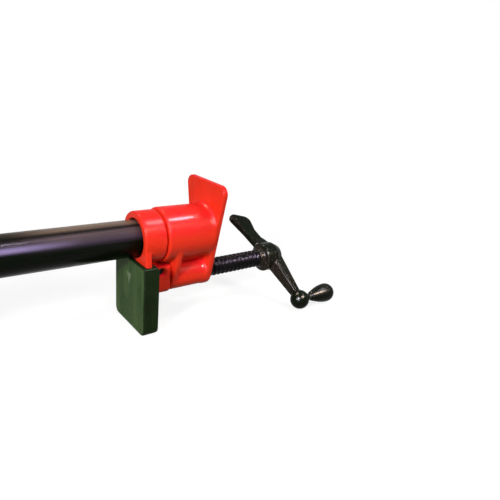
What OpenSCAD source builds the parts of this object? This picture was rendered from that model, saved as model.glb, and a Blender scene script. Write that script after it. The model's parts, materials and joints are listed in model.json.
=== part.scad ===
// Woodworking pipe clamp: a screw head fixed on the end of a steel pipe, a moving jaw that the
// screw drives, and a tail jaw that slides along the pipe and is held by tilting clutch plates.
// Frame: millimetres, X along the pipe from its free end towards the crank, Z up, jaws down.
// The origin is the centre of the pipe's free end.

/* [Pipe] */
// Length of the pipe
pipe_l = 457.2; // [380:0.1:900]
// Outside diameter of the pipe
pipe_d = 26.67; // [24:0.01:30]
// Wall of the pipe
pipe_wall = 2.87; // [2:0.01:4]
// Length of the threaded stretch at the pipe's free end
pipe_thread_l = 20; // [10:1:30]
// How far the threaded stretch lies below the pipe's surface
pipe_thread_drop = 0.3; // [0.1:0.05:0.6]

/* [Opening] */
// Distance between the two jaw faces as stored
opening = 150; // [90:1:170]
// Gap between the moving jaw and the head with the screw wound back
jaw_gap = 1; // [0.5:0.1:3]

/* [Fixed head] */
// Outside diameter of the head's barrel
barrel_d = 41.2; // [37:0.1:42.4]
// Length of the barrel in front of the foot plate
barrel_l = 39; // [30:0.5:50]
// Thickness of the foot plate
foot_t = 4.5; // [3:0.1:7]
// Height of the foot plate's top edge above the pipe's axis
foot_top = 39; // [30:0.5:50]
// Width of the foot plate along its top edge
foot_w = 51; // [42:0.5:60]
// Radius of the foot plate's top corners
foot_corner_r = 6.5; // [2:0.5:8]
// Outside diameter of the boss round the screw
boss_d = 22; // [20:0.1:26]
// How far the boss starts behind the barrel's front
boss_set_back = 8; // [4:0.5:12]
// Thickness of the flange that ties the barrel to the boss in front
flange_t = 4.5; // [3:0.5:8]
// How far the flange bulges past a straight line from barrel to boss
flange_bulge = 1.3; // [0:0.1:2.5]
// Thickness of the web behind the flange
web_t = 5; // [3:0.5:14]
// Radius of the fillets on the foot plate
fillet_r = 3.2; // [2:0.1:6]

/* [Moving jaw] */
// Outside diameter of the jaw's ring
ring_d = 38.6; // [35:0.1:42]
// Length of the jaw's ring
ring_l = 17; // [12:0.5:24]
// Clearance round the pipe in the jaw's ring
ring_clear = 0.8; // [0.4:0.05:0.9]
// Thickness of the jaw's plate
jaw_t = 4.8; // [3.5:0.1:6]
// Width of the jaw's plate inside its pad
jaw_w = 42.5; // [40:0.5:50]
// Width of the lug that holds the screw's end
lug_w = 21; // [20:0.5:25]
// Height of the lug's top above the screw's axis
lug_up = 12.9; // [11:0.1:13.2]
// Depth of the lug's bottom below the screw's axis
lug_down = 10.2; // [9.5:0.1:12]
// Diameter of the pin that keeps the screw in the lug
pin_d = 4.5; // [3:0.1:5]
// How far the pin's ends lie below the lug's sides
pin_recess = 2; // [0.2:0.1:3]
// Diameter of the sinking in the lug's sides round the pin's ends
pin_sink_d = 6.6; // [5.2:0.1:7.5]

/* [Jaw pads] */
// Thickness of a pad over the jaw's plate
pad_t = 12.2; // [10:0.1:14]
// Width of a pad
pad_w = 49; // [47:0.5:56]
// Depth of a pad's top edge below the pipe's axis
pad_top = 15; // [14:0.5:18]
// Depth of a pad's bottom edge below the pipe's axis
pad_bottom = 68.3; // [60:0.1:80]
// Thickness of a pad's front wall
pad_front = 3.5; // [2:0.1:4]
// Radius of a pad's lower corners
pad_corner_r = 5; // [2:0.5:7]
// Radius of a pad's back edges
pad_back_r = 3.2; // [1:0.1:3.2]

/* [Screw] */
// Distance from the pipe's axis down to the screw's axis
screw_drop = 34.3; // [33:0.1:38]
// Outside diameter of the screw's thread
screw_d = 15; // [13:0.1:16]
// Pitch of the thread
pitch = 4.2; // [3:0.1:5]
// Depth of the thread
thread_depth = 1.5; // [0.8:0.1:2]
// Number of turns from wound back to full travel
turns = 10; // [4:1:10]
// Diameter of the screw's plain end in the lug
journal_d = 14; // [12:0.1:14.4]
// Diameter of the screw's tenon in the crank's hub
tenon_d = 10; // [8:0.1:11]
// Running clearance round the screw
screw_clear = 0.08; // [0.03:0.01:0.1]

/* [Crank] */
// Diameter of the crank's hub where it is widest
hub_d = 24.8; // [23:0.1:28]
// Length of the crank's hub
hub_l = 23.2; // [20:0.1:28]
// Angle of the crank's arm below the horizontal as stored
crank_dip = 30; // [0:1:90]
// Radius from the screw's axis to the ball
arm_r = 50; // [40:0.5:60]
// Diameter of the ball at the arm's end
ball_d = 16.4; // [13.5:0.1:18]
// Thickness of the arm at the hub
arm_root_t = 15.2; // [10:0.1:18]
// Thickness of the arm at the ball
arm_tip_t = 7.8; // [6:0.1:10]
// Radius from the screw's axis to the paddle's inner corner
paddle_r = 52.2; // [46:0.1:56]
// Thickness of the paddle
paddle_t = 5; // [3:0.1:8]
// Length of the grip
grip_l = 26.4; // [22:0.1:34]
// Largest diameter of the grip
grip_d = 16.3; // [13:0.1:20]
// Diameter of the spindle's collar between the ball and the grip
collar_d = 6; // [5.4:0.1:8]
// Length of that collar outside the ball
collar_l = 4.4; // [3:0.1:8]
// Diameter of the spindle inside the grip
spindle_d = 4.6; // [3:0.1:5]

/* [Tail jaw] */
// Thickness of a clutch plate
clutch_t = 3; // [2:0.1:4]
// Diameter of a clutch plate
clutch_d = 46; // [42:0.5:50]
// Clearance round the pipe in a clutch plate
clutch_clear = 0.4; // [0.35:0.01:0.6]
// Tilt of the clutch plates while they grip the pipe
clutch_tilt = 6; // [3:0.5:6]
// How far the clutch plates straighten before they meet the heel
clutch_release = 4; // [2:0.5:5]
// Depth of the clutch plates' finger tabs below the pipe's axis
tab_down = 38; // [32:0.5:44]
// Width of the finger tabs
tab_w = 20; // [14:0.5:26]
// Length of the clutch spring
spring_l = 16; // [12:0.5:24]
// Wire diameter of the clutch spring
spring_wire_d = 2; // [1.5:0.1:2.2]
// Number of curls in the clutch spring
spring_curls = 5; // [3:1:6]

/* [Hidden] */
$fn = 64;

// Fits and small sizes that every piece shares
overrun = 1;          // how far a cut runs past what it cuts
press_gap = 0.02;     // gap all round between pieces pressed together
pad_fit = 0.15;       // gap all round between a jaw's plate and its pad
seat_gap = 0.3;       // gap where one piece rests against another
edge_r = 0.8;         // bevel on the castings' turned edges
hull_fn = 32;         // facets of a circle inside a hull
hull_inset = 0.5;     // how far a hull's round part lies inside the cylinder that it joins

// Pipe
pipe_r = pipe_d / 2;
pipe_bore_r = pipe_r - pipe_wall;
pipe_inset = 0.5;     // how far the pipe's end lies inside the foot plate's back
head_thread_gap = 0.03;

// Places along the pipe
head_back_x = pipe_l + pipe_inset;
foot_x = head_back_x - foot_t;
barrel_x = foot_x - barrel_l;
boss_x = barrel_x + boss_set_back;
jaw_face_x = barrel_x - jaw_gap - ring_l - pad_front;
tail_face_x = jaw_face_x - opening;

// Jaws, measured back from a pad's face
plate_x = pad_front;
plate_back_x = plate_x + jaw_t;
ring_back_x = plate_x + ring_l;
ring_bore_r = pipe_r + ring_clear;
jaw_shoulder = 9;     // how far inside its pad the jaw's plate is at full width
jaw_shoulder_drop = pad_top + jaw_shoulder;
jaw_floor = 3;        // floor of a pad under the jaw's plate
jaw_bottom = pad_bottom - jaw_floor;
jaw_corner_r = 3;

// Lug and the screw's end in it
lug_back_x = ring_back_x + boss_set_back;
lug_fit = 0.6;        // gap all round between the lug and the pad's notch
lug_corner_r = 6;
lug_end_wall = 3.7;   // metal between the plate's back and the screw's end
journal_r = journal_d / 2;
journal_bore_r = journal_r + screw_clear;
pin_r = pin_d / 2;
groove_depth = 1.2;
groove_play = 0.6;    // how much wider the groove is than its pin
groove_r = journal_r - groove_depth;
groove_l = pin_d + groove_play;
pin_up = groove_r + screw_clear + pin_r;
pin_from_lug_back = 7.3;

// Screw, measured along the row's X
travel = pitch * turns;
screw_r = screw_d / 2;
journal_x = jaw_face_x + plate_back_x + lug_end_wall + seat_gap;
thread_x = boss_x + jaw_gap;
hub_clear = 10.5;     // gap left between the hub and the foot plate at full travel
shoulder_l = 2;       // plain shoulder between the thread and the hub
hub_x = head_back_x + travel + hub_clear + shoulder_l;
thread_end_x = hub_x - shoulder_l;
tenon_r = tenon_d / 2;
tenon_head_l = 1;     // peened head of the tenon outside the hub
tenon_head_rim = 1;   // how far that head spreads past the tenon
tenon_head_r = tenon_r + tenon_head_rim;

// Crank, in its own plane: along the screw, and out from the screw's axis
hub_r = hub_d / 2;
hub_end_x = hub_x + hub_l;
// The hub's profile: places as shares of its length, and radii as shares of its largest one
hub_profile_shares = [
    [0, 0.64], [0.16, 0.68], [0.2, 0.94], [0.225, 1], [0.7, 1], [0.75, 0.93], [0.96, 0.74], [1, 0.7]
];
arm_tip_back = 16.9;       // how far behind the hub's front the arm's end lies
arm_tip_x = hub_x + arm_tip_back;
arm_root_inset = 0.2;      // how far the arm's outer side lies inside the hub's end
arm_root_half = hub_end_x - arm_root_inset - arm_tip_x;
arm_tip_half = 2.8;        // half width of the arm at the ball
ball_r = ball_d / 2;
paddle_tip_r = 7.7;        // radius of the paddle's outer corner
paddle_nose_r = 5.5;       // radius of the paddle's inner corner
paddle_tip_short = 3.2;    // how much less far the outer corner reaches
paddle_tip_back = 10.9;    // how far behind the hub's front the paddle's circles lie
paddle_nose_back = 3.8;
paddle_shoulder_back = 9.8;
paddle_neck_back = 13;
paddle_tip_x = hub_x + paddle_tip_back;
paddle_nose_x = hub_x + paddle_nose_back;
paddle_shoulder_x = hub_x + paddle_shoulder_back;
paddle_neck_x = hub_x + paddle_neck_back;
paddle_shoulder_out = 29.9;
paddle_shoulder_r = 7;
paddle_neck_out = 11.8;
paddle_neck_r = 6.6;
rib_start_out = 19;        // where the rib begins to thicken the paddle
collar_r = collar_d / 2;
grip_x = arm_tip_x + ball_r + collar_l;
grip_r = grip_d / 2;
grip_end_r_share = 0.45;   // narrow end of the grip, as a share of its largest radius
grip_widest_share = 0.69;  // where the grip is widest, as a share of its length
spindle_r = spindle_d / 2;
spindle_clear = 0.08;
spindle_root_l = 6;        // spindle pressed into the ball
grip_wall = 4;             // grip left solid past the spindle's end

// Clutch
clutch_gap = 0.3;
clutch_r = clutch_d / 2;
clutch_bore_r = pipe_r + clutch_clear;
clutch_step = (clutch_t + clutch_gap) / cos(clutch_tilt);
spring_wire_r = spring_wire_d / 2;
spring_clear = 1.2;   // clearance between the spring's wire and the pipe
spring_r = pipe_r + spring_clear + spring_wire_r;
spring_gap_line = spring_r + spring_wire_r;
clutch_hinge_x = ring_back_x + spring_l + 2 * seat_gap + clutch_t / 2 / cos(clutch_tilt)
    - (clutch_r - spring_gap_line) * tan(clutch_tilt);
lip_l = 4;
lip_reach = 3.6;      // how far the lip reaches down behind the clutch plates
lip_x = clutch_hinge_x + 2 * clutch_step + clutch_t / 2 / cos(clutch_tilt)
    + lip_reach * tan(clutch_tilt) + seat_gap;
arm_gap = 0.7;        // gap between the clutch plates and the arm over them
arm_h = 5;
arm_w = 16;
heel_w = 10;
heel_drop = 8;        // height of the heel below the ring
heel_end_x = clutch_hinge_x - clutch_t / 2 / cos(clutch_tilt - clutch_release)
    + (clutch_r + ring_d / 2) * tan(clutch_tilt - clutch_release) - seat_gap;
rib_foot_below = 8;   // how far the tail jaw's rib runs down past the screw's axis
tail_rib_foot = screw_drop + rib_foot_below;

// Spring: rings of the tube round its wire, along one unbroken helix
rings_per_curl = 8;
wire_sides = 6;

// Extrudes a drawing of the Y-Z plane along X, from x over a length
module slab(x, l) {
    translate([x, 0, 0]) rotate([90, 0, 90]) linear_extrude(l) children();
}

// Extrudes a drawing of the X-Z plane evenly to both sides of it
module side_slab(w) {
    rotate([90, 0, 0]) linear_extrude(w, center = true) children();
}

// Cylinder along X
module rod(x, l, r) {
    translate([x, 0, 0]) rotate([0, 90, 0]) cylinder(h = l, r = r);
}

// Cylinder along X with bevelled ends
module bevelled_rod(x, l, r, bevel) {
    translate([x, 0, 0]) rotate([0, 90, 0]) rotate_extrude() polygon([
        [0, 0], [r - bevel, 0], [r, bevel], [r, l - bevel], [r - bevel, l], [0, l]
    ]);
}

// Fillet round a cylinder of radius r where it meets a plate whose front lies at x
module collar_fillet(x, r, size) {
    translate([x, 0, 0]) rotate([0, -90, 0]) rotate_extrude() difference() {
        translate([r - edge_r, -edge_r]) square([size + edge_r, size + edge_r]);
        translate([r + size, size]) circle(size);
    }
}

// Tube along a list of points, each ring square to the path, closed at both ends
function unit(v) = v / norm(v);
function tangent(p, i) = unit(p[min(i + 1, len(p) - 1)] - p[max(i - 1, 0)]);
function ring_points(p, i, r) =
    let (t = tangent(p, i), a = unit(cross(t, [1, 0, 0])), b = cross(t, a))
    [for (k = [0 : wire_sides - 1]) let (turn = 360 * k / wire_sides)
        p[i] + r * (cos(turn) * a + sin(turn) * b)];
module wire_tube(p, r) {
    n = len(p);
    points = [for (i = [0 : n - 1]) each ring_points(p, i, r)];
    sides = [for (i = [0 : n - 2], k = [0 : wire_sides - 1])
        let (a = i * wire_sides + k, b = i * wire_sides + (k + 1) % wire_sides)
        each [[b, a, a + wire_sides], [b, a + wire_sides, b + wire_sides]]];
    start = [for (k = [1 : wire_sides - 2]) [0, k, k + 1]];
    last = (n - 1) * wire_sides;
    end = [for (k = [1 : wire_sides - 2]) [last, last + k + 1, last + k]];
    polyhedron(points = points, faces = concat(sides, start, end));
}

// Circle for a corner of a hull
module corner(x, y, r) {
    translate([x, y]) circle(r, $fn = hull_fn);
}

// Outline of a jaw's plate: the ring, widened down to the plate's full width
module jaw_outline() {
    side = jaw_w / 2 - jaw_corner_r;
    hull() {
        circle(ring_d / 2 - edge_r - hull_inset, $fn = 2 * hull_fn);
        for (s = [-1, 1]) {
            corner(s * side, -jaw_shoulder_drop, jaw_corner_r);
            corner(s * side, -jaw_bottom + jaw_corner_r, jaw_corner_r);
        }
    }
}

// Outline of the lug, grown all round by a gap
module lug_outline(gap) {
    translate([0, -screw_drop]) hull() {
        for (s = [-1, 1]) {
            corner(s * (lug_w / 2 - lug_corner_r), lug_corner_r - lug_down, lug_corner_r + gap);
            corner(s * (lug_w / 2 - edge_r), lug_up - edge_r, edge_r + gap);
        }
    }
}

// Outline of the flange: the barrel drawn down to the boss, with sides that bulge
module flange_outline() {
    boss_r = boss_d / 2 - hull_inset;
    full_r = barrel_d / 2 - hull_inset;
    hull() {
        circle(full_r, $fn = 2 * hull_fn);
        translate([0, -screw_drop / 2]) circle((boss_r + full_r) / 2 + flange_bulge, $fn = 2 * hull_fn);
        translate([0, -screw_drop]) circle(boss_r, $fn = 2 * hull_fn);
    }
}

// Outline of a foot plate: wide along its top edge and drawn in towards a low circle
module foot_outline(low_r, low_drop) {
    hull() {
        for (s = [-1, 1]) corner(s * (foot_w / 2 - foot_corner_r), foot_top - foot_corner_r, foot_corner_r);
        translate([0, -low_drop]) circle(low_r, $fn = 2 * hull_fn);
    }
}

// Ring and plate that both jaws share, measured back from the pad's face
module jaw_body() {
    slab(plate_x, jaw_t) jaw_outline();
    bevelled_rod(plate_x, ring_l, ring_d / 2, edge_r);
}

module ring_bore() {
    rod(plate_x - overrun, ring_l + 2 * overrun, ring_bore_r);
}

// Cap over a jaw's plate, measured back from its face, with a notch for the lug or rib behind
module jaw_pad() {
    side = pad_w / 2 - pad_corner_r;
    difference() {
        intersection() {
            slab(0, pad_t) hull() {
                for (s = [-1, 1]) {
                    corner(s * side, -pad_bottom + pad_corner_r, pad_corner_r);
                    translate([s * side, -pad_top - pad_corner_r]) square(2 * pad_corner_r, center = true);
                }
            }
            side_slab(pad_w + 2 * overrun) hull() {
                corner(pad_t - pad_back_r, -pad_top - pad_back_r, pad_back_r);
                corner(pad_t - pad_back_r, -pad_bottom + pad_back_r, pad_back_r);
                translate([0, -pad_bottom]) square([pad_back_r, pad_bottom - pad_top]);
            }
        }
        translate([plate_x - pad_fit, -jaw_w / 2 - pad_fit, -jaw_bottom - pad_fit])
            cube([jaw_t + 2 * pad_fit, jaw_w + 2 * pad_fit, jaw_bottom]);
        slab(plate_x + pad_fit, pad_t) {
            lug_outline(lug_fit);
            circle(ring_d / 2 + lug_fit);
            translate([-lug_w / 2 - lug_fit, -screw_drop]) square([lug_w + 2 * lug_fit, screw_drop]);
        }
    }
}

module pipe() {
    color("#2b2326") difference() {
        union() {
            rod(0, pipe_thread_l + overrun, pipe_r - pipe_thread_drop);
            rod(pipe_thread_l, pipe_l - pipe_thread_l, pipe_r);
        }
        rod(-overrun, pipe_l + 2 * overrun, pipe_bore_r);
    }
}

module fixed_head() {
    drop = screw_drop - barrel_d / 2 + edge_r;
    low_r = boss_d / 2 + hull_inset;
    color("#f63c32") difference() {
        union() {
            bevelled_rod(barrel_x, barrel_l + edge_r, barrel_d / 2, edge_r);
            slab(foot_x, foot_t) foot_outline(low_r, screw_drop);
            translate([0, 0, -screw_drop]) rod(boss_x, head_back_x - boss_x, boss_d / 2);
            slab(boss_x, flange_t) flange_outline();
            translate([boss_x, -web_t / 2, -screw_drop]) cube([foot_x - boss_x + edge_r, web_t, drop]);
            intersection() {
                union() {
                    collar_fillet(foot_x, barrel_d / 2, fillet_r);
                    translate([0, 0, -screw_drop]) collar_fillet(foot_x, boss_d / 2, fillet_r);
                }
                slab(foot_x - fillet_r - overrun, fillet_r + 2 * overrun) foot_outline(low_r, screw_drop);
            }
        }
        rod(barrel_x - overrun, head_back_x - barrel_x + 2 * overrun, pipe_r + head_thread_gap);
        translate([0, 0, -screw_drop])
            rod(boss_x - overrun, head_back_x - boss_x + 2 * overrun, screw_r + screw_clear);
    }
}

module moving_jaw() {
    lug_l = lug_back_x - plate_back_x;
    color("#f4362f") translate([jaw_face_x, 0, 0]) difference() {
        union() {
            jaw_body();
            slab(plate_back_x - edge_r, lug_l + edge_r) lug_outline(0);
            translate([plate_x, -lug_w / 4, -screw_drop])
                cube([ring_l - 2 * edge_r, lug_w / 2, screw_drop - ring_bore_r - edge_r]);
        }
        ring_bore();
        translate([0, 0, -screw_drop]) rod(plate_back_x + lug_end_wall, lug_l, journal_bore_r);
        translate([lug_back_x - pin_from_lug_back, 0, pin_up - screw_drop]) rotate([90, 0, 0]) {
            cylinder(h = lug_w + 2 * overrun, r = pin_r + press_gap, center = true);
            for (s = [-1, 1]) translate([0, 0, s * lug_w / 2])
                cylinder(h = 2 * pin_recess, d = pin_sink_d, center = true);
        }
    }
}

module moving_jaw_pad() {
    color("#3c4f2e") translate([jaw_face_x, 0, 0]) jaw_pad();
}

module swivel_pin() {
    pin_l = lug_w - 2 * pin_recess;
    color("#5a5a5c") translate([jaw_face_x + lug_back_x - pin_from_lug_back, pin_l / 2, pin_up - screw_drop])
        rotate([90, 0, 0]) cylinder(h = pin_l, r = pin_r);
}

// One thread ring is a pitch long: a crest, a flank down, a root and a flank up, as shares of the pitch
module thread_profile() {
    crest_share = 0.32;
    flank_share = 0.16;
    root_r = screw_r - thread_depth;
    rings = floor((thread_end_x - thread_x) / pitch);
    start = thread_end_x - rings * pitch;
    polygon(concat(
        [[thread_x - edge_r, 0], [thread_x - edge_r, root_r]],
        [for (i = [0 : rings - 1], p = [
            [0, root_r], [flank_share, screw_r], [flank_share + crest_share, screw_r],
            [2 * flank_share + crest_share, root_r]
        ]) [start + (i + p[0]) * pitch, p[1]]],
        [[thread_end_x, root_r], [thread_end_x, screw_r], [hub_x, screw_r], [hub_x, 0]]
    ));
}

module screw() {
    groove_x = jaw_face_x + lug_back_x - pin_from_lug_back - groove_l / 2;
    color("#2a2626") translate([0, 0, -screw_drop]) {
        rotate([0, 90, 0]) rotate_extrude() rotate(90) mirror([0, 1]) thread_profile();
        difference() {
            rod(journal_x, thread_x - journal_x, journal_r);
            difference() {
                rod(groove_x, groove_l, journal_r + overrun);
                rod(groove_x - overrun, groove_l + 2 * overrun, groove_r);
            }
        }
        rod(hub_x - shoulder_l, shoulder_l + hub_l + tenon_head_l / 2, tenon_r);
        rod(hub_end_x, tenon_head_l, tenon_head_r);
    }
}

// Places the crank's own plane: its arm, drawn straight down, turns to the stored dip
module crank_place() {
    translate([0, 0, -screw_drop]) rotate([crank_dip - 90, 0, 0]) children();
}

// Thin box across the crank's plane: one end of its arm or rib
module section(x, out, half, thick) {
    translate([x - half, -thick / 2, out - edge_r]) cube([2 * half, thick, edge_r]);
}

module crank() {
    color("#15190f") crank_place() difference() {
        union() {
            translate([hub_x, 0, 0]) rotate([0, 90, 0]) rotate_extrude() polygon(concat(
                [[0, 0]], [for (p = hub_profile_shares) [hub_r * p[1], hub_l * p[0]]], [[0, hub_l]]
            ));
            hull() {
                section(arm_tip_x, edge_r, arm_root_half, arm_root_t);
                section(arm_tip_x, -arm_r + edge_r, arm_tip_half, arm_tip_t);
            }
            hull() {
                section(arm_tip_x, edge_r, arm_root_half, arm_root_t);
                section(paddle_neck_x, rib_start_out, paddle_neck_r, paddle_t);
            }
            side_slab(paddle_t) {
                hull() {
                    corner(paddle_tip_x, paddle_r - paddle_tip_short - paddle_tip_r, paddle_tip_r);
                    corner(paddle_nose_x, paddle_r - paddle_nose_r, paddle_nose_r);
                    corner(paddle_shoulder_x, paddle_shoulder_out, paddle_shoulder_r);
                }
                hull() {
                    corner(paddle_shoulder_x, paddle_shoulder_out, paddle_shoulder_r);
                    corner(paddle_neck_x, paddle_neck_out, paddle_neck_r);
                }
            }
            translate([arm_tip_x, 0, -arm_r]) sphere(ball_r);
        }
        rod(hub_x - overrun, hub_l + 2 * overrun, tenon_r + press_gap);
        translate([0, 0, -arm_r])
            rod(arm_tip_x + ball_r - spindle_root_l - press_gap, ball_r, spindle_r + press_gap);
    }
}

// Spindle pressed into the ball, with a collar outside it that the grip runs against
module grip_spindle() {
    root_x = arm_tip_x + ball_r - spindle_root_l;
    seat_x = arm_tip_x + sqrt(ball_r * ball_r - spindle_r * spindle_r) + seat_gap;
    color("#2c352a") crank_place() translate([0, 0, -arm_r]) {
        rod(root_x, grip_x + grip_l - grip_wall - seat_gap - root_x, spindle_r);
        rod(seat_x, grip_x - seat_gap - seat_x, collar_r);
    }
}

// Grip: a pear with its narrow end at the collar and its far end closed
module crank_grip() {
    steps = 12;
    widest = grip_l * grip_widest_share;
    end_r = grip_r * grip_end_r_share;
    nose_l = grip_l - widest;
    color("#14170f") crank_place() translate([grip_x, 0, -arm_r]) rotate([0, 90, 0]) difference() {
        rotate_extrude() polygon(concat(
            [[0, 0]],
            [for (i = [0 : steps]) [end_r + (grip_r - end_r) * sin(90 * i / steps), widest * i / steps]],
            [for (i = [1 : steps - 1]) [grip_r * cos(90 * i / steps), widest + nose_l * sin(90 * i / steps)]],
            [[0, grip_l]]
        ));
        translate([0, 0, -overrun]) cylinder(h = overrun + grip_l - grip_wall, r = spindle_r + spindle_clear);
    }
}

// Tail casting, measured back from its pad's face: ring, plate, foot, clutch arm with lip, heel rib
module tail_jaw() {
    arm_z = clutch_r + arm_gap;
    heel_z = ring_d / 2;
    color("#f4362f") translate([tail_face_x, 0, 0]) mirror([1, 0, 0]) difference() {
        union() {
            jaw_body();
            slab(plate_x, jaw_t) foot_outline(ring_d / 2 - edge_r - hull_inset, 0);
            translate([plate_x, -arm_w / 2, arm_z]) cube([lip_x + lip_l - plate_x, arm_w, arm_h]);
            translate([plate_x, -arm_w / 2, ring_bore_r + edge_r]) cube([ring_l, arm_w, arm_z - ring_bore_r]);
            translate([lip_x, -arm_w / 2, clutch_r - lip_reach])
                cube([lip_l, arm_w, lip_reach + 2 * arm_gap]);
            side_slab(heel_w) polygon([
                [plate_x, -ring_bore_r - edge_r], [ring_back_x, -ring_bore_r - edge_r],
                [ring_back_x, -heel_z], [heel_end_x, -heel_z],
                [heel_end_x, -heel_z - heel_drop], [plate_back_x, -tail_rib_foot], [plate_x, -tail_rib_foot]
            ]);
        }
        ring_bore();
    }
}

module tail_jaw_pad() {
    color("#3c4f2e") translate([tail_face_x, 0, 0]) mirror([1, 0, 0]) jaw_pad();
}

// Clutch plate number i, tilted about its top edge so that its finger tab leans back
module clutch_plate(i) {
    color("#8a8c90") translate([tail_face_x, 0, 0]) mirror([1, 0, 0])
        translate([clutch_hinge_x + i * clutch_step, 0, clutch_r]) rotate([0, -clutch_tilt, 0])
        translate([0, 0, -clutch_r / cos(clutch_tilt)]) difference() {
            union() {
                rod(-clutch_t / 2, clutch_t, clutch_r);
                translate([-clutch_t / 2, -tab_w / 2, -tab_down + tab_w / 2])
                    cube([clutch_t, tab_w, tab_down - tab_w / 2]);
                translate([0, 0, -tab_down + tab_w / 2]) rod(-clutch_t / 2, clutch_t, tab_w / 2);
            }
            rod(-clutch_t / 2 - overrun, clutch_t + 2 * overrun, clutch_bore_r);
        }
}

module clutch_plate_1() { clutch_plate(0); }
module clutch_plate_2() { clutch_plate(1); }
module clutch_plate_3() { clutch_plate(2); }

// Centre line of the spring, measured back from the tail pad's face: its far end leans with the plate
spring_path = [for (i = [0 : spring_curls * rings_per_curl])
    let (share = i / (spring_curls * rings_per_curl), a = 360 * share * spring_curls,
        lean = spring_r * (1 - cos(a)) * tan(clutch_tilt))
    [ring_back_x + seat_gap + spring_wire_r + share * (spring_l - spring_wire_d + lean),
        spring_r * sin(a), spring_r * cos(a)]];
spring_last = len(spring_path) - 1;
spring_near = [for (i = [0 : spring_last - rings_per_curl], j = [-2 : 2])
    norm(spring_path[i] - spring_path[min(i + rings_per_curl + j, spring_last)])];
spring_self_gap = min(spring_near) - spring_wire_d;
echo(clutch_spring_least_gap_to_itself_mm = spring_self_gap);

module clutch_spring() {
    color("#7d8085") translate([tail_face_x, 0, 0]) mirror([1, 0, 0]) wire_tube(spring_path, spring_wire_r);
}

pipe();
fixed_head();
moving_jaw();
moving_jaw_pad();
swivel_pin();
screw();
crank();
grip_spindle();
crank_grip();
tail_jaw();
tail_jaw_pad();
clutch_plate_1();
clutch_plate_2();
clutch_plate_3();
clutch_spring();
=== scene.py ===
"""Woodworking pipe clamp: rounded castings, rolled threads, crank and spring, their finishes, the studio."""
import json
import math

import bmesh
import bpy
from mathutils import Matrix, Vector

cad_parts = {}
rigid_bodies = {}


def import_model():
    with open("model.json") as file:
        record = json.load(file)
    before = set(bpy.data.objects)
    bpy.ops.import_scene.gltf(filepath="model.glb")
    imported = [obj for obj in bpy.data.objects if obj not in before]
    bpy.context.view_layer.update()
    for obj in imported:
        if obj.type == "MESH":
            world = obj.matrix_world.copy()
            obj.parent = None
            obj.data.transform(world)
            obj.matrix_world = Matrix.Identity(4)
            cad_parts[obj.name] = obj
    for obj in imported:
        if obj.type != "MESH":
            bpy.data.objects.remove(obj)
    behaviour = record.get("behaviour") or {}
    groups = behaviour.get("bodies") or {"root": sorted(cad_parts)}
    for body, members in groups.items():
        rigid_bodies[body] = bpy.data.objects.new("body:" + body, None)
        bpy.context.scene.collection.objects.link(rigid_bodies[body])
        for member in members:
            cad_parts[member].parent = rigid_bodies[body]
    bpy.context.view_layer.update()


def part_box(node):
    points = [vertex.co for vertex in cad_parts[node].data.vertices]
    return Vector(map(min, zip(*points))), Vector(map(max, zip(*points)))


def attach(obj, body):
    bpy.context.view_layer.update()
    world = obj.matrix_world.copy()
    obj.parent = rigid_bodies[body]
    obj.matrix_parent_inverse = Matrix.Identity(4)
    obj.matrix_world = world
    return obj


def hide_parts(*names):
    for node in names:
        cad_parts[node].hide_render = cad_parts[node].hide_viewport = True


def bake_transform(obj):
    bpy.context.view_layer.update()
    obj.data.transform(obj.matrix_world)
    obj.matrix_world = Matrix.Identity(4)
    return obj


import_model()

MM = 0.001
METRE = 1000.0      # in millimetres

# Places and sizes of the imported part, in millimetres, and angles in degrees
PIPE_R = 13.335
PIPE_BORE_R = 10.465
PIPE_END = 457.2
PIPE_THREAD_END = 20.0
PIPE_THREAD_PITCH = 1.814
SCREW_Z = -34.3
JOURNAL_START = 405.0
JOURNAL_R = 6.9
GROOVE_MIDDLE = 413.9
GROOVE_HALF = 2.55
GROOVE_R = 5.75
THREAD_START = 423.2
THREAD_END = 510.2
THREAD_PITCH = 4.2
THREAD_CREST_R = 7.4
THREAD_ROOT_R = 5.95
HUB_START = 512.2
HUB_L = 23.2
HUB_R = 12.4
TENON_R = 5.0
CRANK_DIP = 30.0
ARM_R = 50.0
ARM_X = 529.1
BALL_R = 8.2
GRIP_START = 541.7
GRIP_L = 26.4
GRIP_R = 8.15
SPINDLE_R = 2.3
COLLAR_R = 3.0
PIN_R = 2.25
PIN_HALF = 8.5
TAIL_FACE = 242.7
SPRING_START = 20.8
SPRING_L = 16.0
SPRING_WIRE_R = 1.0
SPRING_COIL_R = 15.535
SPRING_CURLS = 5
CLUTCH_TILT = 6.0
FLOOR_Z = -68.6

# The photograph's camera
CAMERA_PLACE = (258.54, -293.68, 115.25)
CAMERA_HEADING = 39.931
CAMERA_DIP = 20.178
CAMERA_ROLL = 5.931
CAMERA_LENS = 33.821
CAMERA_SENSOR = 36.0

# Socket types of the node groups
FLOAT = "NodeSocketFloat"
WHOLE = "NodeSocketInt"
VECTOR = "NodeSocketVector"
GEOMETRY = "NodeSocketGeometry"
MATERIAL = "NodeSocketMaterial"


def make_camera():
    data = bpy.data.cameras.new("photograph_camera")
    data.sensor_width = CAMERA_SENSOR
    data.lens = CAMERA_LENS
    data.clip_start = 0.01
    data.clip_end = 50
    camera = bpy.data.objects.new("photograph_camera", data)
    bpy.context.scene.collection.objects.link(camera)
    turn = (Matrix.Rotation(math.radians(-CAMERA_HEADING), 4, "Z")
            @ Matrix.Rotation(math.radians(90 - CAMERA_DIP), 4, "X")
            @ Matrix.Rotation(math.radians(CAMERA_ROLL), 4, "Z"))
    camera.matrix_world = Matrix.Translation(Vector(CAMERA_PLACE) * MM) @ turn
    bpy.context.scene.camera = camera


make_camera()


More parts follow.
